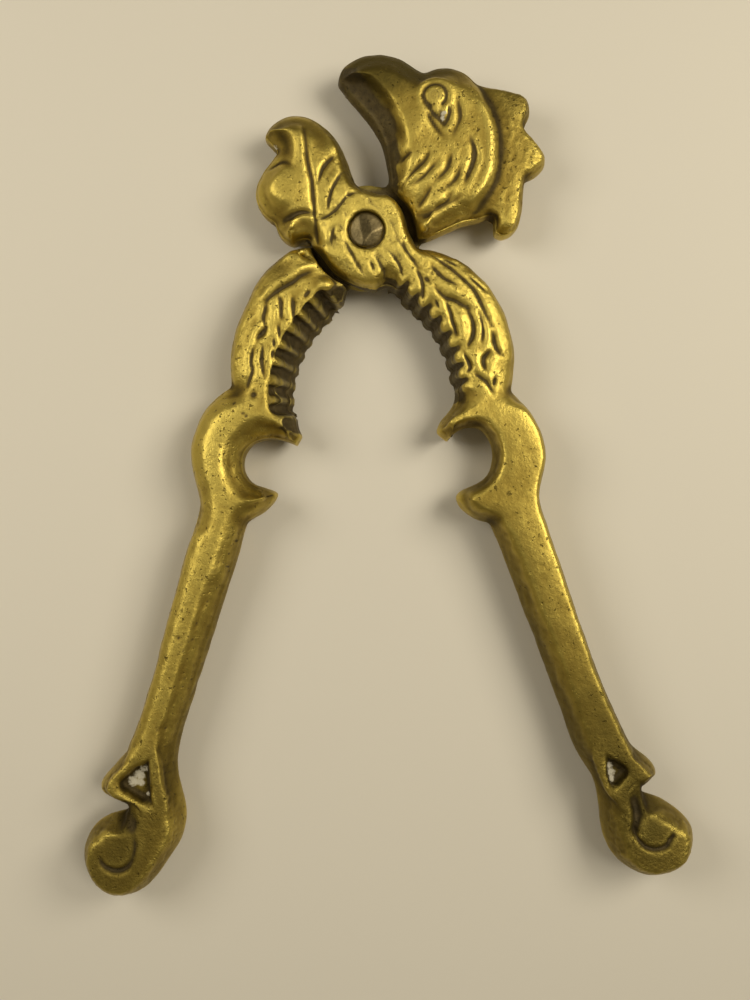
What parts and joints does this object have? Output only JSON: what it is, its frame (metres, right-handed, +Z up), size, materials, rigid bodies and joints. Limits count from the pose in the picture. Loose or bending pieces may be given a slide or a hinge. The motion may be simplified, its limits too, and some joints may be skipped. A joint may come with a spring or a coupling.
{
  "type": "nutcracker",
  "caption": "Cast-brass lever nutcracker shaped as a bird's head, with toothed jaws, small C-shaped jaws and scroll-ended handles turning on a rivet.",
  "frame": {"origin": "on the rivet's axis at the underside of the levers", "axes": "+Z up through the thickness, +Y towards the bird's head, +X towards the front lever's handle"},
  "size_m": [0.1107, 0.1521, 0.012],
  "materials": {
    "front_brass": "aged, cast and part-polished",
    "rear_brass": "aged, cast and part-polished",
    "rivet_steel": "dark, hammered"
  },
  "bodies": {
    "front": {"front_lever": "front_brass", "pivot_rivet": "rivet_steel"},
    "rear": {"rear_lever": "rear_brass"}
  },
  "joints": [
    {"name": "handle_pivot", "type": "hinge", "parent": "front", "child": "rear", "pos_m": [0, 0, 0], "axis": [0, 0, 1], "range_deg": [0, 19.5]}
  ]
}
